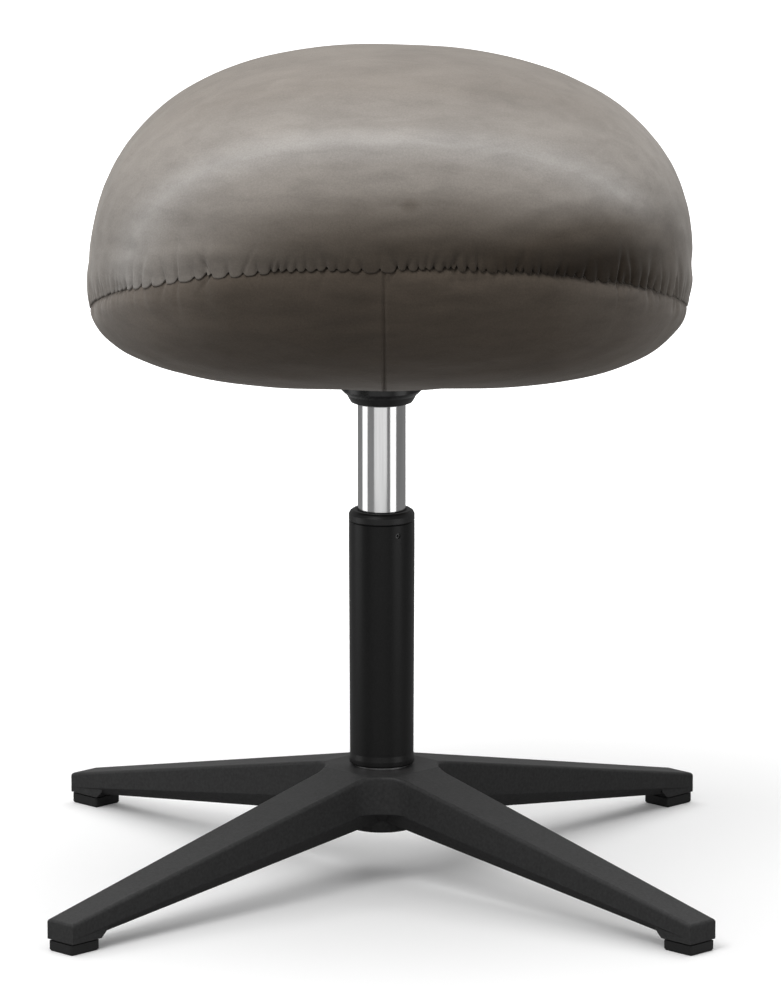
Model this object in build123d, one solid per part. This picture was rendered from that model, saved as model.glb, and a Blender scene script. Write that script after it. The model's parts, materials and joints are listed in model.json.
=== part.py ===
from build123d import *
import math
import os

# Adjustable swivel stool, in millimetres. The origin is on the floor on the column's axis and +Z is up.
# The front of the seat faces -Y. The four arms of the base lie on the diagonals, so the base is an X.

# Base casting
ARM_REACH = 321.5  # column axis to an arm's end face
TIP_HALF_WIDTH = 13.15
SIDE_TAPER = 0.0294  # half width gained per millimetre towards the hub
TIP_TOP = 23.0
TOP_SLOPE = 0.21  # rise of the arm's top per millimetre towards the hub
TIP_UNDERSIDE = 7.0
UNDERSIDE_SLOPE = 0.129
CHAMFER_WIDTH = 5.0  # how far the arm's lower edges are drawn in
CHAMFER_SHARE = 0.3  # share of the arm's depth that the drawn-in edge takes
SOLE_PLANE = 8.5  # height of the flat that a foot is screwed to
FOOT_LENGTH, FOOT_WIDTH, FOOT_DEPTH = 27.0, 24.5, 7.4
FOOT_CENTRE = ARM_REACH - FOOT_LENGTH / 2
HUB_TOP = 83.0
HUB_RADIUS, HUB_BOTTOM = 26.0, 37.0
WEB_BOTTOM = 55.0
WEB_RADIUS = 75.0
CROTCH_RADIUS = 28.0  # fillet in plan between neighbouring arms
EDGE_ROUND = 2.4
ARM_ANGLES = {"front_left": 225, "front_right": 315, "rear_left": 135, "rear_right": 45}

# Column
TUBE_RADIUS, TUBE_BORE = 24.0, 22.0
TUBE_WAIST = 23.3  # the tube narrows slightly towards its foot
TUBE_BOTTOM, TUBE_TOP = 85.0, 266.0
SPIGOT_RADIUS, SPIGOT_BOTTOM = 20.0, 57.0
BOLT_RADIUS = 6.0
CAP_TOP = 274.0
PIN_HEIGHT, PIN_ANGLE = 258.0, -60
FLOOR_BOTTOM, FLOOR_TOP = 100.0, 105.0

# Spindle: the rod, its thrust bearing and its piston
ROD_RADIUS = 5.0
ROD_BOTTOM, ROD_TOP = 95.5, 229.0
RACE_RADIUS, RACE_THICKNESS = 13.0, 2.0
BALL_RADIUS, BALL_CIRCLE, BALLS = 2.0, 9.2, 10
RUNNING_GAP = 0.05
BALL_GAP = 0.1
BUMPER_TOP = 124.6
PISTON_BOTTOM, PISTON_TOP = 212.0, 222.0

# Lift: the chromed cylinder and the seat's mount
CYLINDER_RADIUS, CYLINDER_BORE = 17.5, 15.0
CYLINDER_BOTTOM, CYLINDER_TOP = 195.0, 379.0
COLLAR_RADIUS, COLLAR_BOTTOM, COLLAR_TOP = 29.5, 353.0, 378.0
SOCKET_RADIUS, SOCKET_BOTTOM = 24.0, 366.0
PLATE_SIDE, PLATE_BOTTOM, PLATE_TOP = 104.0, 392.0, 395.0
SCREW_SPACING = 80.0
SCREW_PLACES = GridLocations(SCREW_SPACING, SCREW_SPACING, 2, 2)
PIVOT_Y, LEVER_Z = 29.0, 386.5
LEVER_RADIUS = 3.5
LEVER_DROP_Y, LEVER_END_Y, LEVER_END_Z = 66.0, 150.0, 356.0

# Seat
SEAT_X = 6.0  # the seat's middle stands a little right of the column
HALF_WIDTH, WIDEST_SIDE = 217.5, 455.0  # half the width, and the height at which the seat is that wide
HALF_DEPTH, WIDEST_FRONT = 192.0, 492.0
SEAT_BOTTOM, SEAT_CROWN = 367.0, 612.5
PLAN_POWER = 2.4
UPPER_SIDE, LOWER_SIDE = 2.25, 3.2  # powers of the side's profile above and below its widest height
UPPER_FRONT, LOWER_FRONT = 2.3, 2.0
SECTIONS, QUARTER_STEPS = 15, 6
COVER, FOAM_GAP = 2.2, 1.0  # the covers' thickness, and the ease between them and the foam
SEAM_LOW, SEAM_RISE = 430.0, 55.0  # the seam's height at the sides, and its rise to the front and back
WELL_RADIUS, LINING_GAP = 75.0, 1.0
PAN_BOTTOM, PAN_THICKNESS = 395.2, 12.0
PAN_WIDTH, PAN_DEPTH, PAN_CORNER = 280.0, 190.0, 60.0
PAN_GAP = 0.2


def rod(radius, low, high):
    return Pos(0, 0, low) * extrude(Circle(radius), high - low)


def ring(outer, inner, low, high):
    return Pos(0, 0, low) * extrude(Circle(outer) - Circle(inner), high - low)


def turned(points):
    """A solid turned about Z from a list of (radius, height) points."""
    profile = Plane.XZ * make_face(Polyline(*points, close=True))
    return revolve(profile, Axis.Z)


def save(node, shape):
    shape.label = node
    export_step(shape, f"parts/{node}.step")


# ---------------------------------------------------------------- base casting


def half_width(r):
    return TIP_HALF_WIDTH + SIDE_TAPER * (ARM_REACH - r)


def arm_top(r):
    return TIP_TOP + TOP_SLOPE * (ARM_REACH - r)


def arm_section(r):
    """The arm's six-sided section at distance r: upright sides above, drawn-in edges below."""
    low = TIP_UNDERSIDE + UNDERSIDE_SLOPE * (ARM_REACH - r)
    knee = low + CHAMFER_SHARE * (arm_top(r) - low)
    wide = half_width(r)
    narrow = wide - CHAMFER_WIDTH
    high = arm_top(r) + 20
    corners = [(-narrow, low), (narrow, low), (wide, knee), (wide, high), (-wide, high), (-wide, knee)]
    return Plane((r, 0, 0), x_dir=(0, 1, 0), z_dir=(1, 0, 0)) * make_face(Polyline(*corners, close=True))


def arm():
    """One arm along +X, still open above: the sloping top is cut for all four together."""
    beam = loft([arm_section(20), arm_section(ARM_REACH)], ruled=True)
    heel = [(ARM_REACH - 34, 14), (ARM_REACH - 28, SOLE_PLANE), (ARM_REACH, SOLE_PLANE), (ARM_REACH, 20)]
    toe = extrude(Plane.XZ * make_face(Polyline(*heel, (ARM_REACH - 34, 20), close=True)), TIP_HALF_WIDTH, both=True)
    below = Pos(ARM_REACH, 0, SOLE_PLANE - 10) * Box(120, 60, 20)
    return beam + toe - below


def star_plan():
    """The plan of the four arms with their inner corners filleted."""
    corners = []
    crotch = half_width(0) * math.sqrt(2) / (1 + SIDE_TAPER)
    for quarter in range(4):
        turn = math.radians(45 + 90 * quarter)
        for side in (-1, 1):
            along, across = ARM_REACH, side * half_width(ARM_REACH)
            x = along * math.cos(turn) - across * math.sin(turn)
            y = along * math.sin(turn) + across * math.cos(turn)
            corners.append((x, y))
        middle = turn + math.radians(45)
        corners.append((crotch * math.cos(middle), crotch * math.sin(middle)))
    star = make_face(Polyline(*corners, close=True))
    inner = [v for v in star.vertices() if math.hypot(v.X, v.Y) < 60]
    return fillet(inner, CROTCH_RADIUS)


def roof():
    """The space under the arms' sloping tops and the flat top of the hub."""
    space = Pos(0, 0, HUB_TOP / 2) * Box(800, 800, HUB_TOP)
    for angle in ARM_ANGLES.values():
        flat_end = ARM_REACH - (HUB_TOP - TIP_TOP) / TOP_SLOPE
        wedge = [(flat_end, HUB_TOP), (600, HUB_TOP - (600 - flat_end) * TOP_SLOPE), (600, HUB_TOP + 1)]
        above = extrude(Plane.XZ * make_face(Polyline(*wedge, (flat_end, HUB_TOP + 1), close=True)), 600, both=True)
        space -= Rot(0, 0, angle) * above
    return space


def base_casting():
    web = Pos(0, 0, WEB_BOTTOM) * extrude(star_plan() & Circle(WEB_RADIUS), 60)
    casting = web
    for angle in ARM_ANGLES.values():
        casting += Rot(0, 0, angle) * arm()
    casting &= roof()
    top_edges = [e for e in casting.edges() if is_top_edge(e)]
    casting = fillet(top_edges, EDGE_ROUND)
    casting += turned([(0, HUB_BOTTOM), (HUB_RADIUS - 1.5, HUB_BOTTOM), (HUB_RADIUS, HUB_BOTTOM + 1.5),
                       (HUB_RADIUS, 46), (38, WEB_BOTTOM + 1), (0, WEB_BOTTOM + 1)])
    casting -= rod(SPIGOT_RADIUS, SPIGOT_BOTTOM, HUB_TOP + 1)
    casting -= rod(BOLT_RADIUS + 0.5, HUB_BOTTOM - 1, SPIGOT_BOTTOM + 1)
    casting -= rod(15, HUB_BOTTOM - 1, 49)
    for angle in ARM_ANGLES.values():
        casting -= Rot(0, 0, angle) * Pos(FOOT_CENTRE, 0, 0) * rod(2.5, 0, 18)
    return casting


def is_top_edge(edge):
    """True for the outline of the casting's top, which is rounded all the way along."""
    middle = edge @ 0.5
    r = max(abs(middle.X + middle.Y), abs(middle.X - middle.Y)) / math.sqrt(2)
    start, end = edge @ 0, edge @ 1
    ends = [max(abs(p.X + p.Y), abs(p.X - p.Y)) / math.sqrt(2) for p in (start, end)]
    on_top = all(abs(p.Z - min(HUB_TOP, arm_top(e))) < 0.05 for p, e in zip((start, end), ends))
    across_hub = abs(ends[0] - ends[1]) < 0.05 and r < 60 and edge.length > 30
    return on_top and abs(middle.Z - min(HUB_TOP, arm_top(r))) < 0.05 and not across_hub


def foot():
    """A screwed-on glide, at the end of an arm along +X."""
    pad = Pos(0, 0, FOOT_DEPTH / 2) * Box(FOOT_LENGTH, FOOT_WIDTH, FOOT_DEPTH)
    pad = fillet(pad.edges().filter_by(Axis.Z), 2)
    pad = chamfer(pad.faces().sort_by(Axis.Z)[0].edges(), 1.2)
    pad += Pos(0, 0, (FOOT_DEPTH + SOLE_PLANE) / 2) * Box(FOOT_LENGTH - 4, FOOT_WIDTH - 4, SOLE_PLANE - FOOT_DEPTH)
    pad -= rod(4.8, -1, 3.2) + rod(2.5, 0, 10)
    return Pos(FOOT_CENTRE, 0, 0) * pad


def foot_screw():
    screw = rod(4.6, 0.6, 3.2) + rod(2.5, 3.2, 18) - Pos(0, 0, 0.6) * extrude(RegularPolygon(1.6, 6), 1.6)
    return Pos(FOOT_CENTRE, 0, 0) * screw


def base_parts():
    save("base_casting", base_casting())
    for place, angle in ARM_ANGLES.items():
        save(f"{place}_foot", Rot(0, 0, angle) * foot())
    save("foot_screws", Compound(children=[Rot(0, 0, angle) * foot_screw() for angle in ARM_ANGLES.values()]))
    head = Pos(0, 0, 39) * extrude(RegularPolygon(10.7, 6), 7.5)
    save("base_bolt", head + rod(BOLT_RADIUS, 46.5, 80))
    save("base_washer", ring(13, BOLT_RADIUS, 46.5, 49))


# ---------------------------------------------------------------- column


def column_parts():
    spigot = rod(SPIGOT_RADIUS, SPIGOT_BOTTOM, TUBE_BOTTOM) + rod(TUBE_BORE, TUBE_BOTTOM, 93)
    save("column_spigot", spigot - rod(BOLT_RADIUS, SPIGOT_BOTTOM - 1, 82))

    tube = turned([(TUBE_BORE, TUBE_BOTTOM), (TUBE_WAIST, TUBE_BOTTOM), (TUBE_WAIST + 0.6, TUBE_BOTTOM + 1),
                   (TUBE_WAIST + 0.6, TUBE_BOTTOM + 4), (TUBE_WAIST, TUBE_BOTTOM + 8),
                   (TUBE_RADIUS, TUBE_TOP - 20), (TUBE_RADIUS, TUBE_TOP - 0.6), (TUBE_RADIUS - 0.6, TUBE_TOP),
                   (TUBE_BORE, TUBE_TOP)])
    pin_hole = Rot(0, 0, PIN_ANGLE) * Pos(0, 0, PIN_HEIGHT) * Rot(0, 90, 0) * rod(2, 18.6, 30)
    save("column_tube", tube - pin_hole)

    bushing = turned([(CYLINDER_RADIUS + RUNNING_GAP, 207), (CYLINDER_RADIUS + 1, 206), (TUBE_BORE - 0.6, 206),
                      (TUBE_BORE, 207), (TUBE_BORE, TUBE_TOP), (TUBE_RADIUS - 0.6, TUBE_TOP),
                      (TUBE_RADIUS, TUBE_TOP + 0.6), (TUBE_RADIUS, CAP_TOP - 3.2),
                      (TUBE_RADIUS - 1, CAP_TOP - 1.2), (TUBE_RADIUS - 2.8, CAP_TOP),
                      (CYLINDER_RADIUS + 1.4, CAP_TOP), (CYLINDER_RADIUS + RUNNING_GAP, CAP_TOP - 1.4)])
    save("guide_bushing", bushing - pin_hole)
    screw = Rot(0, 90, 0) * (rod(2, 18.6, 22.9) - Pos(0, 0, 21.4) * extrude(RegularPolygon(1.1, 6), 2))
    save("bushing_screw", Rot(0, 0, PIN_ANGLE) * Pos(0, 0, PIN_HEIGHT) * screw)
    save("column_floor", ring(TUBE_BORE, ROD_RADIUS + RUNNING_GAP, FLOOR_BOTTOM, FLOOR_TOP))


# ---------------------------------------------------------------- spindle and bearing


def bearing_parts():
    balls_low = FLOOR_TOP + RACE_THICKNESS + BALL_GAP
    middle = balls_low + BALL_RADIUS
    upper = balls_low + 2 * BALL_RADIUS + BALL_GAP
    save("lower_race", ring(RACE_RADIUS, ROD_RADIUS + 0.3, FLOOR_TOP, FLOOR_TOP + RACE_THICKNESS))
    save("upper_race", ring(RACE_RADIUS, ROD_RADIUS, upper, upper + RACE_THICKNESS))
    places = PolarLocations(BALL_CIRCLE, BALLS)
    balls = [Pos(0, 0, middle) * place * Sphere(BALL_RADIUS) for place in places]
    save("bearing_balls", Compound(children=balls))
    pockets = [Pos(0, 0, middle - 2) * place * Cylinder(BALL_RADIUS + 0.1, 12) for place in places]
    save("ball_cage", ring(RACE_RADIUS - 0.4, ROD_RADIUS + 0.4, middle - 0.8, middle + 0.8) - pockets)
    save("rod_bumper", ring(10.5, ROD_RADIUS, upper + RACE_THICKNESS, BUMPER_TOP))


def spindle_parts():
    groove = ring(ROD_RADIUS + 1, 4.2, 97, 98.2)
    save("piston_rod", rod(ROD_RADIUS, ROD_BOTTOM, ROD_TOP) - groove)
    save("rod_clip", ring(9, 4.2, 97, 98.2))
    save("rod_washer", ring(11, ROD_RADIUS, 98.4, 99.8))
    seal_low, seal_high, seal_inner = PISTON_BOTTOM + 3.5, PISTON_BOTTOM + 6.5, 12.5
    piston = ring(CYLINDER_BORE - 0.1, ROD_RADIUS, PISTON_BOTTOM, PISTON_TOP)
    save("piston", piston - ring(CYLINDER_BORE, seal_inner, seal_low, seal_high))
    save("piston_seal", ring(CYLINDER_BORE - RUNNING_GAP, seal_inner, seal_low, seal_high))
    nut = Pos(0, 0, PISTON_TOP) * extrude(RegularPolygon(9.2, 6), 5.5)
    save("piston_nut", nut - rod(ROD_RADIUS, PISTON_TOP - 1, PISTON_TOP + 6))


# ---------------------------------------------------------------- lift


def lift_parts():
    guide_top = CYLINDER_BOTTOM + 14.4
    save("gas_cylinder", ring(CYLINDER_RADIUS, CYLINDER_BORE, CYLINDER_BOTTOM, CYLINDER_TOP))
    save("cylinder_guide", ring(CYLINDER_BORE, ROD_RADIUS + RUNNING_GAP, CYLINDER_BOTTOM, guide_top))
    save("rod_seal", ring(CYLINDER_BORE, ROD_RADIUS + RUNNING_GAP, guide_top, PISTON_BOTTOM - 0.2))
    pin_radius = 3.0
    save("valve_head", ring(CYLINDER_BORE, pin_radius + RUNNING_GAP, CYLINDER_TOP - 19, CYLINDER_TOP))
    save("release_pin", rod(pin_radius, CYLINDER_TOP - 27, LEVER_Z - LEVER_RADIUS - 0.3))

    collar = turned([(CYLINDER_RADIUS, COLLAR_BOTTOM + 1), (CYLINDER_RADIUS + 1, COLLAR_BOTTOM),
                     (20, COLLAR_BOTTOM), (22.5, COLLAR_BOTTOM + 1), (24, COLLAR_BOTTOM + 3.5),
                     (25.2, COLLAR_BOTTOM + 6), (27.6, COLLAR_BOTTOM + 8), (COLLAR_RADIUS, COLLAR_BOTTOM + 10),
                     (COLLAR_RADIUS, COLLAR_TOP), (SOCKET_RADIUS, COLLAR_TOP), (SOCKET_RADIUS, SOCKET_BOTTOM),
                     (CYLINDER_RADIUS, SOCKET_BOTTOM)])
    save("collar", collar)


def seat_mount():
    """The plate under the seat, with the socket that grips the cylinder and the lever's two ears."""
    plate = extrude(Pos(0, 0, PLATE_BOTTOM) * RectangleRounded(PLATE_SIDE, PLATE_SIDE, 12), PLATE_TOP - PLATE_BOTTOM)
    plate -= [Pos(0, 0, PLATE_BOTTOM - 1) * place * rod(3.3, 0, 5) for place in SCREW_PLACES]
    mount = plate + ring(SOCKET_RADIUS, CYLINDER_RADIUS, SOCKET_BOTTOM, PLATE_BOTTOM)
    for side in (-1, 1):
        mount += Pos(side * 6, PIVOT_Y, (PLATE_BOTTOM + 381) / 2) * Box(3, 10, PLATE_BOTTOM - 381)
    window = Pos(0, SOCKET_RADIUS, (PLATE_BOTTOM + 381) / 2) * Box(9, 24, PLATE_BOTTOM - 381)
    return mount - window - pivot_rod(1.5)


def pivot_rod(radius):
    return Pos(0, PIVOT_Y, LEVER_Z) * Rot(0, 90, 0) * rod(radius, -7.5, 7.5)


def lever():
    """A bent rod from over the release pin, through the pivot, to under the back of the seat."""
    bend = (0, LEVER_DROP_Y, LEVER_END_Z)
    route = FilletPolyline((0, -4, LEVER_Z), (0, 40, LEVER_Z), bend, (0, LEVER_END_Y, LEVER_END_Z), radius=9)
    section = Plane(origin=route @ 0, z_dir=route % 0) * Circle(LEVER_RADIUS)
    return sweep(section, route) - pivot_rod(1.5 + RUNNING_GAP)


def mount_parts():
    save("seat_mount", seat_mount())
    save("lever_pin", pivot_rod(1.5))
    bent_rod = lever()
    save("lever", bent_rod)
    grip = Pos(0, LEVER_END_Y + 8, LEVER_END_Z) * fillet(Box(24, 44, 9).edges(), 3.5)
    save("lever_grip", grip - bent_rod)


# ---------------------------------------------------------------- seat


def reach(share, power):
    """How far a profile still stands out at a share of its height, from 1 at the widest to 0 at its end."""
    return (1 - min(share, 1) ** power) ** (1 / power)


def half_sizes(z, inset):
    """Half width and half depth of the seat at height z, for a surface lying inset inside it."""
    top, bottom = SEAT_CROWN - inset, SEAT_BOTTOM + inset
    sizes = []
    for full, widest, upper, lower in ((HALF_WIDTH, WIDEST_SIDE, UPPER_SIDE, LOWER_SIDE),
                                       (HALF_DEPTH, WIDEST_FRONT, UPPER_FRONT, LOWER_FRONT)):
        if z >= widest:
            share = reach((z - widest) / (top - widest), upper)
        else:
            share = reach((widest - z) / (widest - bottom), lower)
        sizes.append((full - inset) * share)
    return sizes


def seat_section(z, inset):
    """The seat's plan at height z, from one smooth quarter mirrored twice."""
    wide, deep = half_sizes(z, inset)
    points = []
    for step in range(QUARTER_STEPS + 1):
        turn = math.tau / 4 * step / QUARTER_STEPS
        c, s = math.cos(turn), math.sin(turn)
        distance = (abs(c / wide) ** PLAN_POWER + abs(s / deep) ** PLAN_POWER) ** (-1 / PLAN_POWER)
        points.append((distance * c, distance * s))
    quarter = Spline(*points, tangents=[(0, 1), (-1, 0)])
    half = quarter + mirror(quarter, Plane.YZ)
    return Pos(SEAT_X, 0, z) * make_face(half + mirror(half, Plane.XZ))


def seat_form(inset):
    """The whole seat as one smooth solid, lying inset inside the covers' outer face."""
    low, high = SEAT_BOTTOM + inset, SEAT_CROWN - inset
    first, span = 0.06, 0.89  # the first and last sections are the small flats at the bottom and the crown
    turns = [math.pi * (first + span * i / (SECTIONS - 1)) for i in range(SECTIONS)]
    return loft([seat_section(low + (high - low) * (1 - math.cos(turn)) / 2, inset) for turn in turns])


def pan(grow):
    plate = RectangleRounded(PAN_WIDTH + 2 * grow, PAN_DEPTH + 2 * grow, PAN_CORNER + grow)
    return Pos(SEAT_X, 0, PAN_BOTTOM - grow) * extrude(plate, PAN_THICKNESS + 2 * grow)


def pan_parts():
    """The plywood pan, its tee nuts, and the screws up through the mount's plate."""
    top = PAN_BOTTOM + PAN_THICKNESS
    screw_radius, barrel_radius = 3.0, 5.0
    tee_nut = ring(barrel_radius, screw_radius, PAN_BOTTOM + 2, top) + ring(10, screw_radius, top, top + 1.5)
    screw = rod(screw_radius, PLATE_BOTTOM, top + 1) + rod(5.5, PLATE_BOTTOM - 3.3, PLATE_BOTTOM)
    save("tee_nuts", Compound(children=[place * tee_nut for place in SCREW_PLACES]))
    save("seat_screws", Compound(children=[place * screw for place in SCREW_PLACES]))
    save("seat_pan", pan(0) - [place * rod(barrel_radius, PAN_BOTTOM - 1, top + 1) for place in SCREW_PLACES])


def cover_parts():
    """The two covers: one skin with a lined well underneath, cut in two along the seam."""
    outer, inner = seat_form(0), seat_form(COVER)
    well_top = PAN_BOTTOM - LINING_GAP
    well = rod(WELL_RADIUS, SEAT_BOTTOM - 10, well_top)
    lining = rod(WELL_RADIUS + COVER, SEAT_BOTTOM - 10, well_top) - well
    skin = outer - inner - well + (lining & outer)
    seam_radius = (HALF_DEPTH**2 + SEAM_RISE**2) / (2 * SEAM_RISE)
    above_seam = Pos(0, 0, SEAM_LOW + seam_radius) * Rot(0, 90, 0) * Cylinder(seam_radius, 600)
    save("upper_cover", skin & above_seam)
    save("lower_cover", skin - above_seam)


def foam_parts():
    """The foam over the pan, with room for the screws' ends, and the foam skirt around the well."""
    foam = seat_form(COVER + FOAM_GAP)
    above_pan = Pos(0, 0, PAN_BOTTOM + 200) * Box(600, 600, 400)
    screw_room = rod(70, PAN_BOTTOM - 1, PAN_BOTTOM + PAN_THICKNESS + 3)
    save("foam_cushion", (foam & above_pan) - pan(PAN_GAP) - screw_room)
    inside = rod(WELL_RADIUS + COVER + 0.5, SEAT_BOTTOM - 10, PAN_BOTTOM + 1)
    save("foam_skirt", foam - above_pan - inside)


os.makedirs("parts", exist_ok=True)
base_parts()
column_parts()
bearing_parts()
spindle_parts()
lift_parts()
mount_parts()
pan_parts()
cover_parts()
foam_parts()
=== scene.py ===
import json
import math

import bpy
import numpy as np
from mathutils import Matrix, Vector


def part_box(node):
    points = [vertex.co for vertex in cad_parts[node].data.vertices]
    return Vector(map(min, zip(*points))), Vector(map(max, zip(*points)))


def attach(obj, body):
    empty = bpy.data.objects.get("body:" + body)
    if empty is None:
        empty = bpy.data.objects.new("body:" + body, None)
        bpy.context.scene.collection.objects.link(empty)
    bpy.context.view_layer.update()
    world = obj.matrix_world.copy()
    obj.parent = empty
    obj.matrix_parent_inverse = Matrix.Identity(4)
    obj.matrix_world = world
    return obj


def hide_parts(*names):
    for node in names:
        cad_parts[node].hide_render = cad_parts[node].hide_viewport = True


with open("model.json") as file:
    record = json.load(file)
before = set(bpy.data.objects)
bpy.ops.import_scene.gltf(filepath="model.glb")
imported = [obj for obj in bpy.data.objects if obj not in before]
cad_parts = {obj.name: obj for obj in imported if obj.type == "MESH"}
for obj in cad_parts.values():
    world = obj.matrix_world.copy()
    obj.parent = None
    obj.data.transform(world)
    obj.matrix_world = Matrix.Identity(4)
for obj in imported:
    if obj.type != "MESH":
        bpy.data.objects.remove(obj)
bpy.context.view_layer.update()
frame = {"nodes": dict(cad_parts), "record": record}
nodes = frame["nodes"]

# The seat's middle and limits come from the covers' CAD boxes. The visible covers differ from them by 1 to 3 mm.
upper_low, upper_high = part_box("upper_cover")
SEAT_X = (upper_low.x + upper_high.x) / 2
HALF_WIDTH = (upper_high.x - upper_low.x) / 2 + 0.0015
HALF_DEPTH = (upper_high.y - upper_low.y) / 2 - 0.002
CROWN = upper_high.z + 0.001
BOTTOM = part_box("lower_cover")[0].z + 0.003
PAN_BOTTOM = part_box("seat_pan")[0].z

WIDEST_SIDE, WIDEST_FRONT = 0.456, 0.495  # heights at which the seat is widest
PLAN_POWER = 2.4  # roundness of the plan: 2 is an ellipse, and more is squarer
UPPER_SIDE, UPPER_FRONT = 2.2, 2.1  # powers of the profiles above the widest line
LOWER_SIDE, LOWER_FRONT = 3.3, 2.4  # and below it
WIDEST_SKEW, UPPER_SKEW, LOWER_SKEW = 0.011, -0.10, 0.21  # how much more of each the right side has
SADDLE = 1.6  # how fast the side's profile turns into the front's
NEARLY_WHOLE = 0.999999  # keeps the profile's ends from closing to a point
SEAM_SIDE, SEAM_FRONT = 0.426, 0.486  # the seam's height at the sides and at the front
SEAM_POWER = 1.2
SEAM_GAP = 0.0012  # from the seam's surface to each cover's hidden end
RIDGE_AT, RIDGE_WIDTH, RIDGE_HEIGHT = 0.80, 0.060, 0.0034  # the soft ridge along the front and back of the top
WELL_RADIUS, WELL_EDGE = 0.077, 0.003  # the opening around the seat's mount, and the rounding of its edge
CENTRE_SEAM_X = SEAT_X - 0.004  # the sewn line down the middle of the lower cover

AROUND, RINGS = 1200, 104  # columns around the seat, and rings of one cover
EVEN_SHARE, CROWDING = 0.22, 2.4  # the rings crowd towards the seam
PROFILE_STEPS, HALVINGS = 301, 40  # how finely a profile is measured, and a place on it found

PINCH_REACH, LOOSE_REACH = (0.003, 0.009), 0.016  # how far a pinch reaches, and what loose thread adds
PINCH_WIDTH, PINCH_STRENGTH, PINCH_SLANT = (0.0009, 0.0019), (0.25, 1.0), 0.25
STITCH, LOOSE_STITCH = (0.0042, 0.0080), 0.0085  # from one pinch to the next, and what loose thread adds
PINCH_SPAN, PINCH_SPREAD = 0.014, 0.012  # how far along the seam a pinch is felt, and where it is twice as wide
FULL_HANG = 0.009  # the gap between pinches at which the edge hangs its full length
HEM = ((0.0006, 0.0), (0.0016, 0.0003), (0.004, 0.0012), (0.008, 0.002))  # its rings: inwards, and back
CAP_SHARES = (0.94, 0.75, 0.4)  # the rings that close a cover inside the seam


# ------------------------------------------------------------------ seat form


def seam_height(y):
    """The seam runs higher at the front and back than at the sides."""
    return SEAM_SIDE + (SEAM_FRONT - SEAM_SIDE) * np.abs(y / HALF_DEPTH) ** SEAM_POWER


def profile(turn):
    """Plan radius, widest height, the two powers of the profile and the front share at each angle."""
    c, s = np.cos(turn), np.sin(turn)
    radius = (np.abs(c / HALF_WIDTH) ** PLAN_POWER + np.abs(s / HALF_DEPTH) ** PLAN_POWER) ** (-1 / PLAN_POWER)
    front = np.abs(s * radius / HALF_DEPTH) ** SADDLE
    side = c * radius / HALF_WIDTH
    widest = WIDEST_SIDE + (WIDEST_FRONT - WIDEST_SIDE) * front + WIDEST_SKEW * side
    upper = UPPER_SIDE + (UPPER_FRONT - UPPER_SIDE) * front + UPPER_SKEW * side
    lower = LOWER_SIDE + (LOWER_FRONT - LOWER_SIDE) * front + LOWER_SKEW * side
    return radius, widest, upper, lower, front


def form(turn, angle):
    """A point of the seat's skin. angle runs from -90 degrees at the bottom to +90 at the crown."""
    radius, widest, upper, lower, front = profile(turn)
    rise = np.sin(angle) * NEARLY_WHOLE
    above, below = np.clip(rise, 0, 1), np.clip(-rise, 0, 1)
    reach = np.where(rise >= 0, (1 - above**upper) ** (1 / upper), (1 - below**lower) ** (1 / lower))
    z = np.where(rise >= 0, widest + (CROWN - widest) * above, widest - (widest - BOTTOM) * below)
    ridge = RIDGE_HEIGHT * front**1.5 * np.exp(-(((reach - RIDGE_AT) / RIDGE_WIDTH) ** 2))
    z = z + np.where(rise >= 0, ridge, 0)
    return np.stack([SEAT_X + reach * radius * np.cos(turn), reach * radius * np.sin(turn), z], -1)


def halve(turn, low, high, is_low):
    """The angle on each profile at which is_low(point) turns false, by halving between low and high."""
    low, high = np.full_like(turn, low), np.full_like(turn, high)
    for _ in range(HALVINGS):
        middle = (low + high) / 2
        under = is_low(form(turn, middle))
        low, high = np.where(under, middle, low), np.where(under, high, middle)
    return (low + high) / 2


def seam_angle(turn):
    """The angle on each profile at which it crosses the seam."""
    return halve(turn, -1.2, 0.6, lambda point: point[..., 2] < seam_height(point[..., 1]))


def well_angle(turn):
    """The angle on each profile at which it leaves the well's rounded edge."""
    edge = WELL_RADIUS + WELL_EDGE
    return halve(turn, -1.5707, -0.6, lambda point: np.hypot(point[..., 0] - SEAT_X, point[..., 1]) < edge)


def mesh_object(name, points, faces, smooth=True):
    """A new object in the scene."""
    mesh = bpy.data.meshes.new(name)
    mesh.from_pydata(np.asarray(points).tolist(), [], faces)
    mesh.update()
    mesh.polygons.foreach_set("use_smooth", [smooth] * len(mesh.polygons))
    thing = bpy.data.objects.new(name, mesh)
    bpy.context.scene.collection.objects.link(thing)
    return thing


def resample(turn, start, end, count):
    """Points along each profile from start to end, crowded towards the end, and their distance from the end."""
    fine = np.linspace(0, 1, PROFILE_STEPS)
    line = form(turn[:, None], start[:, None] + (end - start)[:, None] * fine[None, :])
    steps = np.linalg.norm(np.diff(line, axis=1), axis=2)
    length = np.concatenate([np.zeros((len(turn), 1)), np.cumsum(steps, axis=1)], axis=1)
    back = np.linspace(1, 0, count)
    share = 1 - (EVEN_SHARE * back + (1 - EVEN_SHARE) * back**CROWDING)
    rows = np.empty((len(turn), count, 3))
    for i in range(len(turn)):
        for k in range(3):
            rows[i, :, k] = np.interp(share * length[i, -1], length[i], line[i, :, k])
    return rows, (1 - share)[None, :] * length[:, -1:]


def normals(grid):
    """Normals of a grid that closes around its first axis."""
    around = np.roll(grid, -1, axis=0) - np.roll(grid, 1, axis=0)
    n = np.cross(around, np.gradient(grid, axis=1))
    return n / np.maximum(np.linalg.norm(n, axis=2, keepdims=True), 1e-12)


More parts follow.
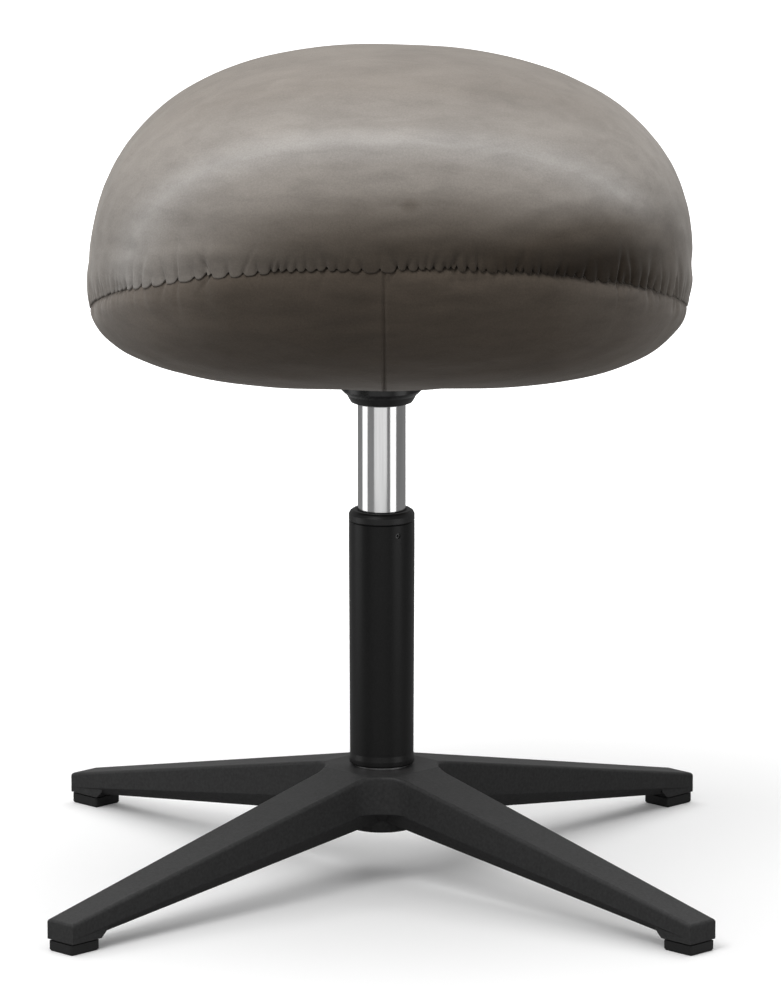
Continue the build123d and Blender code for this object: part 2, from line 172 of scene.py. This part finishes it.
def drift(seed, points, size, count=36):
    """A smooth random field of about unit strength whose lumps are about size metres across."""
    draw = np.random.default_rng(seed)
    total = np.zeros(points.shape[:-1])
    for _ in range(count):
        way = draw.normal(size=3)
        way *= draw.uniform(0.6, 1.4) * math.pi / size / np.linalg.norm(way)
        total += np.sin(points @ way + draw.uniform(0, math.tau))
    return total * math.sqrt(2 / count)


def pinches(length):
    """Where the thread draws the covers in: place along the seam, reach from it, width, strength and slant."""
    draw = np.random.default_rng(41)
    rows, place = [], 0.0
    while place < length - 0.005:
        loose = 0.5 + 0.5 * math.sin(place * 11 + 2.2 * math.sin(place * 27))
        rows.append((place, draw.uniform(*PINCH_REACH) + LOOSE_REACH * loose * draw.random() ** 2,
                     draw.uniform(*PINCH_WIDTH), draw.uniform(*PINCH_STRENGTH), draw.normal(0, PINCH_SLANT)))
        place += draw.uniform(*STITCH) + draw.uniform(0, LOOSE_STITCH) * loose
    return rows


turns = np.arange(AROUND) * math.tau / AROUND
seam_line = form(turns, seam_angle(turns))
seam_steps = np.linalg.norm(np.roll(seam_line, -1, axis=0) - seam_line, axis=1)
SEAM_LENGTH = seam_steps.sum()
seam_place = np.concatenate([[0], np.cumsum(seam_steps)[:-1]])
PINCHES = pinches(SEAM_LENGTH)


def gathers(away, depth):
    """How far the skin is drawn in by the seam's pinches, and how far its edge hangs over between them."""
    pull, notch = np.zeros_like(away), np.zeros(AROUND)
    for place, length, width, strength, slant in PINCHES:
        gap = (seam_place - place + SEAM_LENGTH / 2) % SEAM_LENGTH - SEAM_LENGTH / 2
        near = np.abs(gap) < PINCH_SPAN
        distance = away[near]
        across = (gap[near][:, None] + slant * distance) / (width * (1 + distance / PINCH_SPREAD))
        pull[near] -= strength * depth * np.exp(-(across**2) - (distance / length) ** 1.3)
        notch[near] = np.maximum(notch[near], strength**2 * np.exp(-((gap[near] / width) ** 2)))
    places = np.array([pinch[0] for pinch in PINCHES] + [SEAM_LENGTH])
    index = np.searchsorted(places, seam_place, side="right") - 1
    wide = (places[1:] - places[:-1])[index]
    share = (seam_place - places[:-1][index]) / wide
    hang = np.sqrt(np.clip(4 * share * (1 - share), 0, 1)) * np.clip(wide / FULL_HANG, 0.4, 1.3)
    return pull, hang - 0.9 * notch


def close_up(grid, start_pole, end_pole):
    """Points and faces of a closed skin: the grid's rings, with a pole at each end."""
    around, rings = grid.shape[:2]
    points = np.concatenate([grid.reshape(-1, 3), [start_pole, end_pole]])
    faces = []
    for i in range(around):
        here, there = i * rings, (i + 1) % around * rings
        faces.append((around * rings, there, here))
        faces.extend((here + k, there + k, there + k + 1, here + k + 1) for k in range(rings - 1))
        faces.append((here + rings - 1, there + rings - 1, around * rings + 1))
    return points, faces


def seam_cap(edge, gap):
    """Rings from a hem's last ring towards the middle, close along the seam's surface."""
    rings = []
    for share in CAP_SHARES:
        x, y = SEAT_X + (edge[:, 0] - SEAT_X) * share, edge[:, 1] * share
        rings.append(np.stack([x, y, seam_height(y) + gap], -1))
    return np.stack(rings, axis=1)


def cushion_skin(start, sign, depth, over, sunk):
    """One cover's outer skin, which is drawn in at the seam and turns inwards there as a hem.

    sign is 1 for the lower cover and -1 for the upper one. depth is the pinches' depth, over is how far the
    edge hangs, and sunk is how far the skin dips close to the seam and in a wider band along it.
    """
    grid, away = resample(turns, start, seam_angle(turns), RINGS)
    out = normals(grid) * sign
    pull, hang = gathers(away, depth)
    lift = pull - sunk[0] * np.exp(-away / 0.0028) - sunk[1] * np.exp(-away / 0.012)
    lift += 0.0009 * np.exp(-(((away - 0.014) / 0.011) ** 2))  # the roll that the thread pushes up beside it
    soft = 1 - np.exp(-((away / 0.02) ** 2))
    lift += soft * (0.0006 * drift(5, grid, 0.11) + 0.00018 * drift(6, grid * [0.7, 1, 1.3], 0.035))
    lift += (0.3 + 0.7 * np.exp(-away / 0.05)) * 0.00028 * drift(7, grid * [0.5, 1, 1.8], 0.014)
    if sign > 0:
        line = grid[..., 0] - CENTRE_SEAM_X
        lift += 0.0006 * np.exp(-((line / 0.007) ** 2)) - 0.0019 * np.exp(-((line / 0.0011) ** 2))
    along = np.gradient(grid, axis=1)
    along /= np.maximum(np.linalg.norm(along, axis=2, keepdims=True), 1e-12)
    slide = over * hang[:, None] * np.exp(-away / 0.004)
    grid = grid + out * lift[:, :, None] + along * slide[:, :, None]
    inward = -out[:, -1, :]
    hem = np.stack([grid[:, -1] + inward * inset - along[:, -1] * back for inset, back in HEM], axis=1)
    return np.concatenate([grid, hem], axis=1)


def upper_cushion():
    """From the crown down to the seam, with an edge that hangs over the lower cover."""
    start = np.full_like(turns, math.pi / 2 - 0.02)
    grid = cushion_skin(start, -1, depth=0.0034, over=0.0030, sunk=(0.0002, 0.0010))
    grid = np.concatenate([grid, seam_cap(grid[:, -1], SEAM_GAP)], axis=1)
    crown = grid[:, 0].mean(axis=0)
    points, faces = close_up(grid, crown, (SEAT_X, 0, SEAM_SIDE + SEAM_GAP))
    return mesh_object("upper_cushion", points, faces)


def lower_cushion():
    """From the well's edge up to the seam, with the well's lining, which ends just inside the pan."""
    grid = cushion_skin(well_angle(turns), 1, depth=0.0022, over=0.0, sunk=(0.0045, 0.0016))
    flat = (grid[:, 0, :2] - [SEAT_X, 0]) * (WELL_RADIUS / (WELL_RADIUS + WELL_EDGE))
    well_top = PAN_BOTTOM + 0.002
    wall = [np.column_stack([flat * share + [SEAT_X, 0], np.full(AROUND, z)]) for share, z in
            ((0.5, well_top), (1, well_top), (1, PAN_BOTTOM - 0.004), (1, BOTTOM + 0.010), (1.004, BOTTOM + 0.004))]
    grid = np.concatenate([np.stack(wall, axis=1), grid, seam_cap(grid[:, -1], -SEAM_GAP)], axis=1)
    points, faces = close_up(grid, (SEAT_X, 0, well_top), (SEAT_X, 0, SEAM_SIDE - SEAM_GAP))
    return mesh_object("lower_cushion", points, faces)


upper = upper_cushion()
lower = lower_cushion()
upper.data.flip_normals()  # its rings run downwards, so its faces come out inside out


# ------------------------------------------------------------------ materials


class Look:
    """A material made of procedural nodes on object coordinates."""

    def __init__(self, name, roughness, metallic=0.0):
        self.material = bpy.data.materials.new(name)
        self.material.use_nodes = True
        self.tree = self.material.node_tree
        self.shader = self.tree.nodes["Principled BSDF"]
        self.shader.inputs["Roughness"].default_value = roughness
        self.shader.inputs["Metallic"].default_value = metallic
        self.coordinates = self.tree.nodes.new("ShaderNodeTexCoord").outputs["Object"]

    def set(self, **values):
        """Constants on the shader's own sockets, named with underscores for spaces."""
        for key, value in values.items():
            self.shader.inputs[key.replace("_", " ")].default_value = value

    def stretched(self, stretch):
        """Object coordinates scaled along each axis: a smaller scale draws a texture out."""
        mapping = self.tree.nodes.new("ShaderNodeMapping")
        mapping.inputs["Scale"].default_value = stretch
        self.tree.links.new(self.coordinates, mapping.inputs["Vector"])
        return mapping.outputs["Vector"]

    def noise(self, scale, detail, distortion=0.0, stretch=(1, 1, 1)):
        texture = self.tree.nodes.new("ShaderNodeTexNoise")
        texture.inputs["Scale"].default_value = scale
        texture.inputs["Detail"].default_value = detail
        texture.inputs["Distortion"].default_value = distortion
        self.tree.links.new(self.stretched(stretch), texture.inputs["Vector"])
        return texture.outputs["Fac"]

    def ramp(self, value, *stops):
        """Colours between (position, colour) stops."""
        ramp = self.tree.nodes.new("ShaderNodeValToRGB")
        ramp.color_ramp.elements[0].position, ramp.color_ramp.elements[1].position = stops[0][0], stops[-1][0]
        for position, _ in stops[1:-1]:
            ramp.color_ramp.elements.new(position)
        for element, (_, color) in zip(ramp.color_ramp.elements, stops):
            element.color = (*color, 1)
        self.tree.links.new(value, ramp.inputs["Fac"])
        return ramp.outputs["Color"]

    def multiplied(self, first, second):
        node = self.tree.nodes.new("ShaderNodeMix")
        node.data_type = "RGBA"
        node.blend_type = "MULTIPLY"
        node.inputs["Factor"].default_value = 1.0
        self.tree.links.new(first, node.inputs["A"])
        self.tree.links.new(second, node.inputs["B"])
        return node.outputs["Result"]

    def ball(self, place, size, *stops):
        """Colours by distance in a soft ellipsoid: a stop at 1 is its middle, and one at 0 is its edge."""
        mapping = self.tree.nodes.new("ShaderNodeMapping")
        mapping.vector_type = "TEXTURE"
        mapping.inputs["Location"].default_value = place
        mapping.inputs["Scale"].default_value = size
        self.tree.links.new(self.coordinates, mapping.inputs["Vector"])
        ball = self.tree.nodes.new("ShaderNodeTexGradient")
        ball.gradient_type = "SPHERICAL"
        self.tree.links.new(mapping.outputs["Vector"], ball.inputs["Vector"])
        return self.ramp(ball.outputs["Fac"], *[(at, (value, value**1.10, value**1.22)) for at, value in stops])

    def color(self, value):
        self.tree.links.new(value, self.shader.inputs["Base Color"])

    def roughness(self, value, low, high):
        """Roughness between low and high, following a value from 0 to 1."""
        scale = self.tree.nodes.new("ShaderNodeMapRange")
        scale.inputs["To Min"].default_value = low
        scale.inputs["To Max"].default_value = high
        self.tree.links.new(value, scale.inputs["Value"])
        self.tree.links.new(scale.outputs["Result"], self.shader.inputs["Roughness"])

    def bump(self, height, distance, strength):
        """Bump of a given depth in metres, on top of any bump set before."""
        node = self.tree.nodes.new("ShaderNodeBump")
        node.inputs["Distance"].default_value = distance
        node.inputs["Strength"].default_value = strength
        self.tree.links.new(height, node.inputs["Height"])
        if self.shader.inputs["Normal"].links:
            self.tree.links.new(self.shader.inputs["Normal"].links[0].from_socket, node.inputs["Normal"])
        self.tree.links.new(node.outputs["Normal"], self.shader.inputs["Normal"])


def grey(value, tint=(1, 1, 1)):
    return tuple(value * part for part in tint)


def velvet(name, shade, tint, patches):
    """Short pile velvet: brushed patches, crushed mottling and a fine pile, times the painted light and shade of
    the patches given.
    """
    look = Look(name, 0.9)
    look.set(Specular_IOR_Level=0.12, Sheen_Weight=0.35, Sheen_Roughness=0.45, Sheen_Tint=(0.86, 0.82, 0.78, 1))
    brushed = look.ramp(look.noise(6, 3, 0.3, (1, 1.3, 1.8)), (0.30, grey(shade * 0.90, tint)),
                        (0.52, grey(shade, tint)), (0.72, grey(shade * 1.08, tint)))
    blotched = look.ramp(look.noise(19, 5, 0.6, (0.9, 1, 1.2)),
                         (0.30, grey(0.93)), (0.50, grey(1)), (0.70, grey(1.03)))
    brushed = look.multiplied(brushed, blotched)
    crushed = look.ramp(look.noise(60, 5, 0.5, (0.5, 1, 2)),
                        (0.32, grey(0.90)), (0.55, grey(1)), (0.75, grey(1.04)))
    pile = look.ramp(look.noise(800, 2), (0.25, grey(0.90)), (0.75, grey(1.08)))
    value = look.multiplied(look.multiplied(brushed, crushed), pile)
    # The patches paint light and shade into the colour.
    for place, size, stops in patches:
        value = look.multiplied(value, look.ball(place, size, *stops))
    look.color(value)
    look.bump(look.noise(70, 5, 1.2), 0.0010, 0.25)
    look.bump(look.noise(1100, 3), 0.0003, 0.4)
    return look.material


def coated(name, shade, rough, grain, depth, gloss=0.5):
    """A black coating or moulded plastic: fine grain, and slight variation in gloss."""
    look = Look(name, sum(rough) / 2)
    look.set(Specular_IOR_Level=gloss)
    look.color(look.ramp(look.noise(grain / 3, 4),
                         (0.3, grey(shade * 0.85)), (0.7, grey(shade * 1.2, (1, 1, 1.01)))))
    look.roughness(look.noise(35, 4, 0.5), *rough)
    look.bump(look.noise(grain, 3), depth, 0.5)
    return look.material


def metal(name, shade, rough, stretch=(1, 1, 1), tint=(1, 1, 1)):
    """Bare or plated metal with fine brush lines along one direction."""
    look = Look(name, sum(rough) / 2, 1.0)
    lines = look.noise(420, 4, 0.0, stretch)
    look.color(look.ramp(lines, (0.3, grey(shade * 0.9, tint)), (0.7, grey(shade * 1.06, tint))))
    look.roughness(lines, *rough)
    look.bump(lines, 0.00005, 0.25)
    return look.material


def plywood():
    """The pan's birch face, with its grain along X."""
    look = Look("plywood", 0.6)
    grain = look.noise(45, 6, 1.5, (0.12, 1.6, 1))
    look.color(look.ramp(grain, (0.3, (0.30, 0.19, 0.10)), (0.5, (0.44, 0.30, 0.17)), (0.7, (0.52, 0.38, 0.23))))
    look.bump(grain, 0.0004, 0.4)
    return look.material


def foam():
    """Yellowish open cells."""
    look = Look("foam", 0.95)
    cells = look.noise(500, 3)
    look.color(look.ramp(cells, (0.35, (0.48, 0.44, 0.30)), (0.65, (0.68, 0.63, 0.46))))
    look.bump(cells, 0.0006, 0.8)
    return look.material


UPRIGHT, TURNED = (1, 1, 0.03), (0.15, 0.15, 3)  # brush lines along the axis, and around it
LOOKS = {  # by the record's material slots
    "black_coat": coated("black_coat", 0.042, (0.36, 0.50), 1400, 0.00014, gloss=0.16),
    "foot_plastic": coated("foot_plastic", 0.009, (0.50, 0.62), 1800, 0.00008),
    "collar_plastic": coated("collar_plastic", 0.014, (0.24, 0.32), 2500, 0.00003),
    "black_nylon": coated("black_nylon", 0.011, (0.38, 0.48), 2000, 0.00005),
    "black_rubber": coated("black_rubber", 0.010, (0.72, 0.85), 900, 0.0001),
    "chrome": metal("chrome", 0.72, (0.10, 0.16), UPRIGHT),
    "zinc_steel": metal("zinc_steel", 0.50, (0.30, 0.45), tint=(1, 1, 0.98)),
    "turned_steel": metal("turned_steel", 0.48, (0.24, 0.38), TURNED),
    "dark_steel": metal("dark_steel", 0.10, (0.32, 0.45)),
    "bearing_steel": metal("bearing_steel", 0.62, (0.08, 0.16), TURNED),
    "plywood": plywood(),
    "foam": foam(),
}
LOOKS_OF_NODES = {"column_tube": coated("smooth_black_coat", 0.008, (0.30, 0.40), 1900, 0.00005, gloss=0.28)}
for subpart in frame["record"]["subparts"]:
    if subpart["material_slot"] in LOOKS:
        node = nodes[subpart["node"]]
        node.data.materials.clear()
        node.data.materials.append(LOOKS_OF_NODES.get(subpart["node"], LOOKS[subpart["material_slot"]]))

# Painted light and shade in the velvet's colour: painted shade on the crown, a painted highlight along the ridge,
# and painted shade below it towards the seam.
# Each patch is its middle, its half sizes, and (how deep inside it, shade) stops.
# Painted highlight along the ridge, with painted shade on the crown and down towards the seam.
RIDGE_HIGHLIGHT_AND_SHADE = ((SEAT_X, 0, 0.5), (HALF_WIDTH * 1.6, HALF_DEPTH, 4),
                 ((0, 0.56), (0.03, 0.72), (0.07, 0.86), (0.12, 0.98), (0.185, 1.32), (0.26, 1.02), (0.50, 0.78)))
# Painted shade at the front right above the seam, partly the pile brushed down there.
RIGHT_FRONT_PILE_AND_SHADE = ((SEAT_X + 0.150, -0.150, 0.468), (0.14, 0.12, 0.062), ((0, 1), (0.35, 0.50), (0.7, 0.15)))
# Painted shade above the seam in the middle of the front.
MIDDLE_FRONT_SHADE = ((SEAT_X + 0.03, -0.19, 0.480), (0.20, 0.10, 0.060), ((0, 1), (0.7, 0.50)))
# A small darker spot on the front face, between the seam and the ridge.
FRONT_DARK_SPOT = ((SEAT_X + 0.014, -0.184, 0.529), (0.009, 0.02, 0.006), ((0, 1), (0.7, 0.80)))
# The upper cover's painted light and shade, with the small darker spot.
UPPER_PAINTED_LIGHT = (RIDGE_HIGHLIGHT_AND_SHADE, RIGHT_FRONT_PILE_AND_SHADE, MIDDLE_FRONT_SHADE, FRONT_DARK_SPOT)
# Painted shade under the lower cover: darkest in the middle and lighter towards its ends.
LOWER_PAINTED_SHADE = (((SEAT_X, 0, 0.4), (0.215, 1, 1), ((0, 1), (0.22, 0.62), (0.45, 0.38), (0.8, 0.33))),)
upper.data.materials.append(velvet("upper_velvet", 0.29, (1, 0.92, 0.84), UPPER_PAINTED_LIGHT))
# The lower velvet is a darker, warmer copy as painted shade, and it carries the lower painted shade.
lower.data.materials.append(velvet("lower_velvet", 0.265, (1, 0.89, 0.79), LOWER_PAINTED_SHADE))
for piece, stands_for in ((upper, ("upper_cover", "foam_cushion")), (lower, ("lower_cover", "foam_skirt"))):
    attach(piece, "lift")
    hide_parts(*stands_for)

# ------------------------------------------------------------------ floor, light and camera

floor = mesh_object("floor", [(-6, -6, 0), (6, -6, 0), (6, 6, 0), (-6, 6, 0)], [(0, 1, 2, 3)], smooth=False)


def studio_floor():
    """A pale floor, brighter to the camera than to other rays. To the camera it also glows away from the object."""
    look = Look("floor", 0.9)
    look.set(Specular_IOR_Level=0.0, Emission_Color=(1, 1, 1, 1))
    seen = look.tree.nodes.new("ShaderNodeLightPath").outputs["Is Camera Ray"]
    look.color(look.ramp(seen, (0.0, grey(0.24)), (1.0, grey(0.88))))
    distance = look.tree.nodes.new("ShaderNodeVectorMath")
    distance.operation = "LENGTH"
    look.tree.links.new(look.coordinates, distance.inputs[0])
    glow = look.tree.nodes.new("ShaderNodeMapRange")
    glow.inputs["From Min"].default_value, glow.inputs["From Max"].default_value = 0.35, 2.0
    glow.inputs["To Min"].default_value = 0.10
    look.tree.links.new(distance.outputs["Value"], glow.inputs["Value"])
    both = look.tree.nodes.new("ShaderNodeMath")
    both.operation = "MULTIPLY"
    look.tree.links.new(glow.outputs["Result"], both.inputs[0])
    look.tree.links.new(seen, both.inputs[1])
    look.tree.links.new(both.outputs[0], look.shader.inputs["Emission Strength"])
    return look.material


floor.data.materials.append(studio_floor())

scene = bpy.context.scene
scene.view_settings.view_transform = "Standard"

# An even world, white to the camera and dimmer as a light.
world = bpy.data.worlds.new("studio")
scene.world = world
world.use_nodes = True
world_tree = world.node_tree
background = world_tree.nodes["Background"]
background.inputs["Color"].default_value = (1, 1, 1, 1)
seen = world_tree.nodes.new("ShaderNodeLightPath").outputs["Is Camera Ray"]
strength = world_tree.nodes.new("ShaderNodeMapRange")
strength.inputs["To Min"].default_value, strength.inputs["To Max"].default_value = 0.30, 1.0
world_tree.links.new(seen, strength.inputs["Value"])
world_tree.links.new(strength.outputs["Result"], background.inputs["Strength"])


def area_light(name, place, target, size, radiance):
    """A rectangular soft light, invisible to the camera, of a given size (width, height) and brightness."""
    data = bpy.data.lights.new(name, "AREA")
    data.shape = "RECTANGLE"
    data.size, data.size_y = size
    data.energy = radiance * math.pi * size[0] * size[1]
    lamp = bpy.data.objects.new(name, data)
    lamp.location = place
    lamp.rotation_euler = (Vector(target) - Vector(place)).to_track_quat("-Z", "Y").to_euler()
    scene.collection.objects.link(lamp)


def round_light(name, azimuth, distance, height, size, radiance):
    """An upright light around the column. Azimuth 0 is the front, and positive is towards +X."""
    turn = math.radians(azimuth)
    place = (distance * math.sin(turn), -distance * math.cos(turn), height)
    area_light(name, place, (0, 0, height), size, radiance)


area_light("key", (-0.9, -1.5, 2.4), (0, 0, 0.5), (1.2, 1.2), 6.5)
area_light("top", (0.0, 0.5, 3.0), (0, 0.3, 0.0), (3.6, 3.6), 2.2)
round_light("left_strip", -88, 1.0, 0.15, (0.58, 0.30), 1.3)
round_light("right_strip", 57, 1.0, 0.15, (0.56, 0.30), 1.4)
round_light("front_strip", -5, 1.2, 0.12, (1.45, 0.24), 0.75)

CAMERA_PLACE, CAMERA_DOWN = (0.0064, -5.746, 1.476), 11.753  # metres, and degrees below level
camera_data = bpy.data.cameras.new("camera")
camera_data.sensor_fit = "VERTICAL"
camera_data.sensor_height = 36
camera_data.lens = 290.12
camera_data.clip_end = 50
camera = bpy.data.objects.new("camera", camera_data)
camera.location = CAMERA_PLACE
camera.rotation_euler = (math.radians(90 - CAMERA_DOWN), 0, 0)
scene.collection.objects.link(camera)
scene.camera = camera
